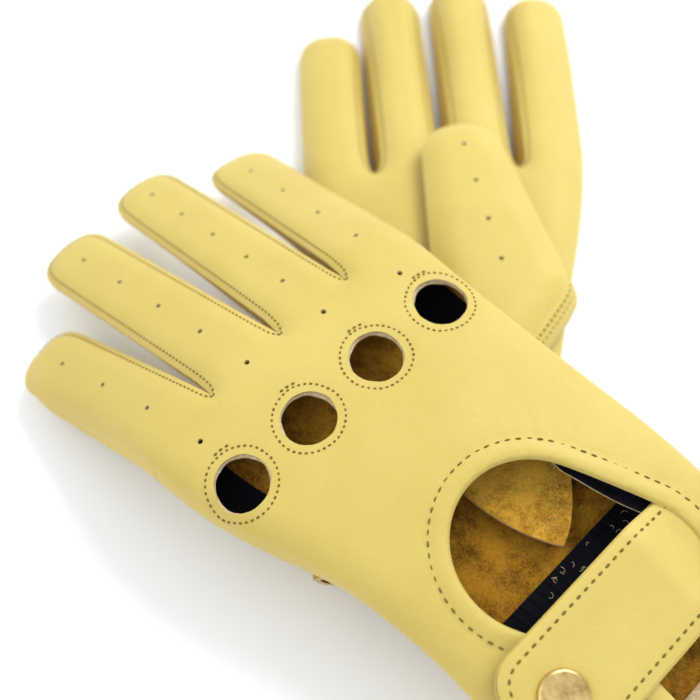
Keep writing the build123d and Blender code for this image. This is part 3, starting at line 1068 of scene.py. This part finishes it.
def grain_of_thread(start, end, normal, width, height):
    """One stitch: a small rounded grain of thread from start to end, standing on the leather."""
    along = end - start
    side = unit(np.cross(normal, along))
    points = [start]
    for share, size in ((0.16, 0.72), (0.5, 1.0), (0.84, 0.72)):
        for angle in np.arange(6) * math.pi / 3:
            wide = side * math.cos(angle) * width / 2 * size
            high = normal * (math.sin(angle) * height * size)
            points.append(start + along * share + wide + high)
    points.append(end)
    faces = []
    for k in range(6):
        after = (k + 1) % 6
        faces.append([0, 1 + after, 1 + k])
        for ring in (1, 7):
            faces.append([ring + k, ring + after, ring + 6 + after, ring + 6 + k])
        faces.append([13 + k, 13 + after, 19])
    return points, faces


def sew_stitches(
    glove, name, rows, node="", place="hand", material=THREAD, width=0.75, height=0.32, fill=0.62,
):
    """All the stitches of several rows. A row is (points on the leather, normals)."""
    points, faces = [], []
    for line, normals in rows:
        for k, reach in enumerate(np.diff(line, axis=0)):
            start = line[k] + reach * (1 - fill) / 2
            end = line[k] + reach * (1 + fill) / 2
            normal = (normals[k] + normals[k + 1]) / 2
            own_points, own_faces = grain_of_thread(start, end, normal, width, height)
            faces.extend([[len(points) + n for n in face] for face in own_faces])
            points.extend(own_points)
    sew(glove, name, (points, faces), [material], "thread", node, place)


def surface_row(surface, glove, plan, line, outward):
    """A plan line as points on the leather with their normals."""
    moves = np.array([(0.0, 0.0), (0.3, 0.0), (0.0, 0.3)])
    here, right, ahead = (surface(glove, plan, line + move) for move in moves)
    return here, unit(np.cross(right - here, ahead - here)) * outward


def flat_row(points, outward=1.0):
    """Points with their normals square to the glove's plane."""
    return points, np.tile([0.0, 0.0, outward], (len(points), 1))


def build_seam_stitches(glove, plan, side_name):
    """The stitch rows just inside the finger seams."""
    surface, outward = SIDES[side_name]
    pitch, inset = 1.5, 1.6
    corner_drop = 1.8 if side_name == "back" else 4.4
    for index, finger in enumerate(FINGERS):
        rows = []
        for side, slit, seam in finger_seams(plan, index):
            line = beside(soften(seam, 4), inset * side)
            corner = web_point(glove, slit, corner_drop)
            low = max(WEB_Y - 5.0, corner[1] + 1.2)
            line = np.vstack([corner, line[line[:, 1] > low]])
            rows.append(surface_row(surface, glove, plan, resample(soften(line, 3), pitch), outward))
        name = f"{finger}_{side_name}_seam_stitching"
        sew_stitches(glove, name, rows, place=onto_finger(glove, index), width=0.55, height=0.3)


def build_knuckle_stitches(glove, plan):
    """A ring of stitches round each knuckle hole, doubled over a short stretch at its top."""
    rows = []
    count = 38
    for number, x in enumerate(glove.knuckle_x):
        ring = closed(circle((x, 0.0), HOLE_STITCH_RADIUS, count, 0.12, 31 + number))
        again = circle((x + 0.4, 0.0), HOLE_STITCH_RADIUS + 0.8, count, 0.1, 41 + number)[7:11]
        for row in (ring, again):
            row = row[inside_loops(row, [plan.outline])]
            rows.append(surface_row(back_surface, glove, plan, row, 1.0))
    sew_stitches(glove, "knuckle_hole_stitching", rows, "knuckle_stitching", width=0.7)


def build_vent_stitches(glove, plan):
    """The stitch row that holds down the vent's rolled rim."""
    pitch, lift_off, cuff_end = 2.6, 0.2, 6
    line = soften(beside(plan.vent, -VENT_STITCH_INSET), 6)[cuff_end:-cuff_end]
    points, normals = surface_row(back_surface, glove, plan, resample(line, pitch), 1.0)
    row = (points + lift_off * normals, normals)
    sew_stitches(glove, "vent_rim_stitching", [row], "vent_stitching", width=0.5, fill=0.6)


# Sewn-in pieces


def build_walls(glove, back_plan, palm_plan):
    """The gusset strips between the fingers, from the back leather's seam to the palm's."""
    inset, slack, sag = 0.35, 1.0, 0.09
    shares = np.linspace(0, 1, 7)[:, None, None]
    for index, finger in enumerate(FINGERS):
        across = np.append(finger_ways(glove, index)[0], 0.0)
        strips = []
        for back, palm in zip(finger_seams(back_plan, index), finger_seams(palm_plan, index)):
            side = back[0]
            top = back_surface(glove, back_plan, beside(back[2], inset * side))
            low = palm_surface(glove, palm_plan, beside(palm[2], inset * side))
            top[:, 2] -= LEATHER + 0.25
            low[:, 2] += LEATHER * 0.6
            gap = np.maximum(np.linalg.norm(low - top, axis=1) - slack, 0.0)[:, None]
            pull = -side * sag * gap * np.sin(math.pi * shares) * across
            strips.append((top + shares * (low - top) + pull)[::side])
        # The gussets take the leather darkened as painted shade.
        sew(
            glove, f"{finger}_gussets", quads(strips), [GUSSET_PAINTED_SHADE], "side_wall_leather",
            f"{finger}_side_walls", onto_finger(glove, index), thickness=0.7, even=False,
        )


def build_facings(glove, plan):
    """Rings of leather sewn under the knuckle holes; their cut edge shows inside the hole's own."""
    points, faces = [], []
    count, top, thickness, side_gap = 48, -LEATHER - 0.1, 0.8, 1.8
    outer, inner = HOLE_RADIUS + 3.6, HOLE_RADIUS - 0.25
    corners = [(outer, top), (inner, top), (inner, top - thickness), (outer, top - thickness)]
    for number, x in enumerate(glove.knuckle_x):
        first = len(points)
        for radius, above in corners:
            ring = circle((x, 0.0), radius, count, 0.2, 51 + number)
            low, high = (glove.section(ring[:, 1], column) for column in (LOW_X, HIGH_X))
            ring[:, 0] = np.clip(ring[:, 0], low + side_gap, high - side_gap)
            points.extend(back_surface(glove, plan, ring, above))
        for corner in range(4):
            here, beyond = (first + n % 4 * count for n in (corner, corner + 1))
            for k in range(count):
                after = (k + 1) % count
                faces.append([here + k, here + after, beyond + after, beyond + k])
    sew(
        glove, "knuckle_hole_facings", (points, faces), [CUT_EDGE], "facing_leather", "knuckle_facings",
    )


def build_binding(glove, plan):
    """The turned-in edge of the vent, lying against the inside of the back leather."""
    section = ((0.7, -1.2), (0.6, -1.6), (1.4, -2.1), (4.0, -2.1))  # distances in from the rim, heights
    rows = [back_surface(glove, plan, beside(plan.vent, -inset), above) for inset, above in section]
    sew(
        glove, "vent_rim_binding", quads([rows]), [GRAIN], "facing_leather", "vent_binding", thickness=0.5,
    )


def palm_band(glove, plan, low, high, inner, steps, wave=0.0, pitch=3.0):
    """Rows of points across the inside of the palm between two distances along the hand."""
    rows = []
    for y in np.linspace(low, high, steps):
        x = np.linspace(glove.section(y, LOW_X) + 2.2, glove.section(y, HIGH_X) - 2.2, 130)
        above = inner + wave * (1 + np.sin(x * 2 * math.pi / pitch))
        rows.append(palm_surface(glove, plan, np.column_stack([x, np.full(len(x), y)]), above))
    return quads([rows])


def build_bands(glove, palm_plan):
    """The hem at the cuff and the ruched elastic across the inside of the wrist."""
    cuff = glove.stations[-1]
    hem = palm_band(glove, palm_plan, cuff + 0.4, cuff + 8.0, LEATHER + 0.6, 6)
    sew(glove, "cuff_turned_hem", hem, [CUT_EDGE], "facing_leather", "cuff_hem", thickness=0.8)
    elastic = palm_band(glove, palm_plan, -72.5, -63.5, LEATHER + 0.9, 12, 0.14)
    sew(glove, "ruched_wrist_elastic", elastic, [ELASTIC], "elastic", "wrist_elastic", thickness=0.7)


def build_hole_shade_sheets(glove, palm_plan):
    """Near-black sheets inside the two side folds, behind the outer knuckle holes: painted shade for the glove's dark
    inside seen through them.
    """
    strips = []
    for fold, side in zip(palm_plan.folds, (-1, 1)):
        line = fold[(fold[:, 1] > -16.0) & (fold[:, 1] < 18.0)]
        above = LEATHER + 0.9 + 0.12 * np.sin(line[:, 1] * 2 * math.pi / 1.3)
        strips.append([
            palm_surface(glove, palm_plan, line - [side * inset, 0.0], above)
            for inset in (2.2, 3.0, 4.2, 6.0, 8.5, 11.0, 13.5)
        ])
    sew(
        glove, "inner_side_tapes", quads(strips), [NEAR_BLACK_SHEET], "tape", "side_tapes",
        thickness=0.6, even=False,
    )


def cut_line(outline):
    """An outline's points an edge step apart, without the first one again at the end."""
    return resample(closed(outline), EDGE_STEP)[:-1]


def sew_slab(glove, name, outline, top, bottom, materials, slot, node="", place="hand"):
    """A flat-cut piece between two surfaces: its top, its underside and its cut edge."""
    verts, faces = triangulate(Plan(cut_line(outline)))
    all_faces, kinds = shell(faces, len(verts), open_edges(faces))
    mesh = (np.vstack([top(verts), bottom(verts)]), all_faces)
    sew(glove, name, mesh, materials, slot, node, place, kinds, sharp=50.0)


def build_flap(glove, palm_plan):
    """The leaf-shaped end of the thumb's seam, standing off the palm's inside below the vent."""
    lower_edge = bezier((4.0, -36.0), (4.0, -50.0), (11.0, -62.0), 12)
    upper_edge = bezier((11.0, -62.0), (19.0, -60.0), (29.0, -48.0), 12)
    leaf = np.vstack([lower_edge, upper_edge[1:], [(30.0, -36.0), (14.0, -32.0)]])
    outline = leaf + [glove.vent_shift, 0.0]
    rise = 2.6 if glove.section(-50.0, DEPTH) > 14.0 else 0.8  # less where the glove lies flat

    def surface(points, above):
        at_edge = line_distance(points, [outline[:-1]])
        curl = 0.8 * soft_fall(at_edge, 4.0) + 0.5 * ripples(points, 14.0, 71)
        return palm_surface(glove, palm_plan, points, LEATHER + rise + above + curl * min(rise, 1.0))

    # The flap's top takes the suede's painted-light copy, its underside the suede darkened as painted shade.
    sew_slab(
        glove, "thumb_seam_flap", outline, lambda p: surface(p, 1.0), lambda p: surface(p, 0.0),
        [SUEDE_PAINTED_LIGHT, SUEDE_WITH_PAINTED_SHADE, CUT_EDGE], "facing_leather",
    )
    rows = []
    for aside in (0.0, 1.4):
        line = bezier((13.0, -57.4), (18.5, -55.5), (26.5, -45.5), 12)
        line = resample(line + [glove.vent_shift - 0.7 * aside, aside], 1.7)
        rows.append(flat_row(surface(line, 1.1)))
    sew_stitches(
        glove, "thumb_seam_flap_stitching", rows, material=PALE_THREAD, width=0.6, height=0.3, fill=0.5,
    )


def build_lint(glove, palm_plan):
    """Short pale curls of lint caught on the elastic."""
    rng = np.random.default_rng(91)
    rows = []
    for _ in range(16):
        middle = np.array([rng.uniform(-2.0, 30.0) + glove.vent_shift, rng.uniform(-70.0, -64.5)])
        turn = rng.uniform(0, 6.3) + np.linspace(0, rng.uniform(1.2, 3.6), 8)
        curl = middle + rng.uniform(0.4, 1.1) * np.column_stack([np.cos(turn), np.sin(turn)])
        rows.append(flat_row(palm_surface(glove, palm_plan, curl, LEATHER + 1.9)))
    sew_stitches(glove, "elastic_lint", rows, material=CUT_EDGE, width=0.16, height=0.1, fill=1.1)


def build_rim_dark_sheet(glove, back_plan):
    """A near-black sheet with a pale cut edge, under the thumb-side rim of the vent beside the strap."""
    free_edge = bezier((22.0, -48.0), (23.5, -62.0), (30.0, -73.0), 12)
    leaf = np.vstack([free_edge, [(36.0, -73.0), (36.0, -60.0), (28.0, -46.0)]])
    top, bottom = (lambda p, z=z: back_surface(glove, back_plan, p, z) for z in (-3.6, -4.3))
    outline = leaf + [glove.vent_shift, 0.0]
    sew_slab(glove, "vent_rim_tape", outline, top, bottom, [NEAR_BLACK_SHEET, NEAR_BLACK_SHEET, CUT_EDGE], "tape")


# Strap


def strap_surface(glove, points, above):
    """A layer of the strap: it lies over the wrist and dives under the vent's thumb-side rim."""
    hinge = STRAP_HINGE_X + glove.vent_shift
    dive = 5.4 * smooth_step(hinge - 14.0, hinge - 1.0, points[:, 0])
    height = glove.section(points[:, 1], TOP_Z) + above - dive + 0.1 * ripples(points, 26.0, 21)
    return np.column_stack([points, height])


def strap_outline(glove, inset):
    """The strap's plan: square under the rim, rounded at its free end."""
    x_high = STRAP_HINGE_X + glove.vent_shift + 4.0
    x_low = float(glove.section(STRAP_DISTAL_Y - STRAP_WIDTH / 2, LOW_X)) + 3.0 + inset
    y_high = STRAP_DISTAL_Y - inset
    y_low = STRAP_DISTAL_Y - STRAP_WIDTH + inset
    corner = 8.0 - inset
    turn = np.linspace(0, math.pi / 2, 12)
    near, far = corner - corner * np.sin(turn), corner - corner * np.cos(turn)
    top = np.column_stack([x_low + near, y_high - far])
    low = np.column_stack([x_low + far, y_low + near])
    return np.vstack([[[x_high, y_high]], top, low, [[x_high, y_low]]])


def build_strap(glove):
    """The lined strap across the vent with its stitching."""
    hinge = STRAP_HINGE_X + glove.vent_shift
    middle_y = STRAP_DISTAL_Y - STRAP_WIDTH / 2
    start, end = (tuple(glove.row([x, middle_y, 0.0])) for x in (hinge + 1.0, hinge - 8.0))
    bodies = (f"{glove.name}_hand", f"{glove.name}_strap")

    def bend(piece):
        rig.blend(piece, *bodies, start=start, end=end)

    border = closed(cut_line(strap_outline(glove, 0.0)))

    def top(points):
        at_edge = line_distance(points, [border])
        pillow = 0.25 * hump(at_edge, 4.5, 2.2)
        return strap_surface(glove, points, 3.3 + pillow - 0.35 * round_fall(at_edge, 0.9))

    for layer, low, upper, inset in (
        ("leather", 2.25, top, 0.0), ("lining", 1.2, lambda p: strap_surface(glove, p, 2.2), -0.5),
    ):
        sew_slab(
            glove, f"wrist_strap_{layer}", strap_outline(glove, inset), upper,
            lambda p, z=low: strap_surface(glove, p, z), LEATHER_SIDES,
            "strap_leather", f"strap_{layer}", bend,
        )
    row = flat_row(strap_surface(glove, resample(strap_outline(glove, 2.4), 2.5), 3.35))
    sew_stitches(glove, "wrist_strap_stitching", [row], "strap_stitching", bend)


# Thumbs


@dataclass
class Thumb:
    """A thumb folded over the palm, in the frame of its own round base: +x to the tip."""

    glove: Glove
    heading: float
    tip_radius: float
    reach: float
    low: float  # glove-frame height of the outer face
    depth: float
    seam_width: float
    base: list  # corners of the base, from the palm's side round to the outer side

    def place(self, points):
        """Points of the thumb's frame, in the glove frame."""
        pivot = self.glove.pivot("thumb_swing")
        c, s = math.cos(math.radians(self.heading)), math.sin(math.radians(self.heading))
        x, y, z = np.asarray(points, float).T
        return np.column_stack([pivot[0] + x * c - y * s, pivot[1] + x * s + y * c, self.low + z])

    def edge_height(self):
        """Where the side gusset meets the outer leather."""
        return self.depth * 0.42


def thumb_outline(thumb):
    """The thumb's plan: a round tip, straight sides and a cut base."""
    tip = np.linspace(-math.pi / 2, math.pi / 2, 30)
    round_tip = thumb.tip_radius * np.column_stack([np.cos(tip) ** 0.85, np.sin(tip)])
    line = closed(np.vstack([round_tip + [thumb.reach, 0.0], thumb.base]))
    return soften(resample(line, EDGE_STEP), 8)[:-1]


def build_thumb(thumb):
    """The thumb's outer leather, inner leather and side gusset."""
    glove = thumb.glove
    outline = thumb_outline(thumb)
    border = closed(outline)
    edge_rise = thumb.edge_height()
    first_hole, last_hole = 20.0, thumb.reach + thumb.tip_radius - 4 - PERFORATION_RADIUS
    centres = [first_hole + glove.thumb_hole_pitch * k for k in range(4)]
    holes = [circle((x, 0.0), PERFORATION_RADIUS, 8) for x in centres if x < last_hole]

    def outer_height(points):
        at_edge = line_distance(points, [border])
        bulge = thumb.depth * 0.06 * (1 - soft_fall(at_edge, 14.0))
        return edge_rise * soft_fall(at_edge, 9.0) - bulge + 0.2 * ripples(points, 24.0, 61) + 0.3

    def inner_height(points):
        at_edge = line_distance(points, [border])
        return thumb.depth - (thumb.depth - edge_rise - 1.6) * soft_fall(at_edge, 8.0)

    for side, node, slot, height, outward, cut in (
        ("outer", "thumb_back", "back_leather", outer_height, -1.0, holes),
        ("inner", "thumb_front", "palm_leather", inner_height, 1.0, []),
    ):
        verts, faces = triangulate(Plan(outline, cut))
        sheet = thicken(verts, faces, thumb.place(np.column_stack([verts, height(verts)])), outward)
        everything = np.ones(len(sheet.faces), bool)
        sew_part(glove, sheet, everything, f"thumb_{side}_leather", slot=slot, node=node, place="thumb")

    low, high = outer_height(border) + LEATHER, inner_height(border) - LEATHER
    inner_line = beside(border, 0.8)
    rows = [
        thumb.place(np.column_stack([inner_line, low * (1 - share) + high * share]))
        for share in np.linspace(0, 1, 4)
    ]
    # The side gusset takes the leather darkened as painted shade.
    sew(
        glove, "thumb_side_gusset", quads([rows]), [GUSSET_PAINTED_SHADE], "side_wall_leather",
        "thumb_side_wall", "thumb", thickness=0.6,
    )


def build_thumb_seam(thumb):
    """The doubly stitched strip that joins the thumb's base to the palm leather."""
    glove = thumb.glove
    outline = thumb_outline(thumb)
    edge = outline[(outline[:, 0] < 15.0) & (outline[:, 1] < 9.0)]
    width = thumb.seam_width * np.sin(np.linspace(0, math.pi, len(edge))) ** 0.35
    y = thumb.place([[0.0, 0.0, 0.0]])[0, 1]
    palm = glove.section(y, TOP_Z) - glove.section(y, DEPTH) - thumb.low
    start = thumb.edge_height() + 0.7
    overlap, dip = 0.8, 0.7

    def row_at(share):
        line = beside(edge, (overlap - share * (width + overlap))[:, None])
        height = start + (palm - start) * share**1.4 - dip * math.sin(share * math.pi)
        return np.column_stack([line, np.full(len(line), height)])

    rows = [thumb.place(row_at(share)) for share in np.linspace(0, 1, 8)]
    sew(
        glove, "thumb_seam_strip", quads([rows]), [GRAIN, CUT_EDGE], "back_leather", "thumb_base",
        thickness=1.0,
    )
    lines = []
    for share in (0.4, 0.66):
        line = resample(row_at(share), 2.0) - [0.0, 0.0, 0.55]
        lines.append(flat_row(thumb.place(line), -1.0))
    sew_stitches(glove, "thumb_seam_stitching", lines, width=0.7)


# Both gloves


def build_glove(glove, thumb):
    """All the visible pieces of one glove."""
    back_plan = build_panel(glove, "back")
    palm_plan = build_panel(glove, "palm")
    build_seam_stitches(glove, back_plan, "back")
    build_seam_stitches(glove, palm_plan, "palm")
    build_knuckle_stitches(glove, back_plan)
    build_vent_stitches(glove, back_plan)
    build_walls(glove, back_plan, palm_plan)
    build_facings(glove, back_plan)
    build_binding(glove, back_plan)
    build_bands(glove, palm_plan)
    build_hole_shade_sheets(glove, palm_plan)
    build_strap(glove)
    build_thumb(thumb)
    build_thumb_seam(thumb)
    build_flap(glove, palm_plan)
    build_rim_dark_sheet(glove, back_plan)
    build_lint(glove, palm_plan)
    for node in ("snap_stud", "snap_cap"):
        materials = frame["nodes"][f"{glove.name}_{node}"].data.materials
        materials.clear()
        materials.append(BRASS)


build_glove(RIGHT, Thumb(
    RIGHT, heading=97.0, tip_radius=13.0, reach=64.0, low=-23.5, depth=8.0, seam_width=4.5,
    base=[(29.0, 18.4), (0.0, 19.5), (-12.0, 16.0), (-14.0, 8.0), (-9.0, 1.0), (10.0, -18.0), (20.0, -17.6)],
))
build_glove(LEFT, Thumb(
    LEFT, heading=135.0, tip_radius=9.5, reach=47.0, low=-27.8, depth=6.6, seam_width=2.5,
    base=[(0.0, 11.5), (-9.0, 7.5), (-11.5, 0.0), (-9.0, -7.5), (0.0, -11.5)],
))


# Stage


def floor_paint(tree, place):
    """A matt white with a hardly visible cloudiness."""
    clouds = noise(tree, place, 3.0)
    tint = ramp(tree, clouds, (0.3, (0.94, 0.945, 0.95)), (0.7, (0.96, 0.96, 0.965)))
    return {"Base Color": tint, "Roughness": 0.9}


def build_stage():
    """A plain pale floor, a pale surround and soft lights: the key light from the upper right."""
    size = 3.0
    corners = [(-size, -size, 0), (size, -size, 0), (size, size, 0), (-size, size, 0)]
    floor = make_object("floor", corners, [[0, 1, 2, 3]], [make_material("white_floor", floor_paint)])
    floor.location.z = -0.0004
    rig.stage(floor)

    world = bpy.data.worlds.new("surround")
    world.use_nodes = True
    background = world.node_tree.nodes["Background"]
    background.inputs["Color"].default_value = (0.93, 0.96, 1.0, 1.0)
    background.inputs["Strength"].default_value = 1.0
    bpy.context.scene.world = world

    for name, place, power, size in (
        ("key_light", (0.45, 0.35, 0.75), 7.0, 0.55),
        ("fill_light", (-0.7, -0.3, 0.8), 2.2, 0.9),
    ):
        light = bpy.data.lights.new(name, "AREA")
        light.energy = power
        light.size = size
        lamp = bpy.data.objects.new(name, light)
        lamp.location = place
        lamp.rotation_euler = (-Vector(place)).to_track_quat("-Z", "Y").to_euler()
        bpy.context.scene.collection.objects.link(lamp)


def build_camera():
    """The camera looks down on the left glove's knuckles from behind its little finger."""
    target = Vector((-0.0342, -0.0371, 0.0))
    elevation, turn, distance = math.radians(56.57), math.radians(-3.41), 0.3339
    lens = bpy.data.cameras.new("camera")
    lens.lens = 58.58
    lens.sensor_width = 36.0
    lens.clip_start = 0.01
    camera = bpy.data.objects.new("camera", lens)
    level = math.cos(elevation)
    away = Vector((math.sin(turn) * level, -math.cos(turn) * level, math.sin(elevation)))
    camera.location = target + away * distance
    camera.rotation_euler = (math.pi / 2 - elevation, 0.0, turn)
    focus = bpy.data.objects.new("focus", None)
    focus.location = LEFT.row([0.0, -20.0, 0.0])
    lens.dof.use_dof = True
    lens.dof.focus_object = focus
    lens.dof.aperture_fstop = 11.0
    for made in (camera, focus):
        bpy.context.scene.collection.objects.link(made)
    bpy.context.scene.camera = camera
    bpy.context.scene.view_settings.view_transform = "Standard"


build_stage()
build_camera()

size_rows = {"cad": [list(corner) for corner in cad_box], "visual": [list(corner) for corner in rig.bounds()]}
with open("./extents.json", "w") as size_file:
    json.dump(size_rows, size_file)
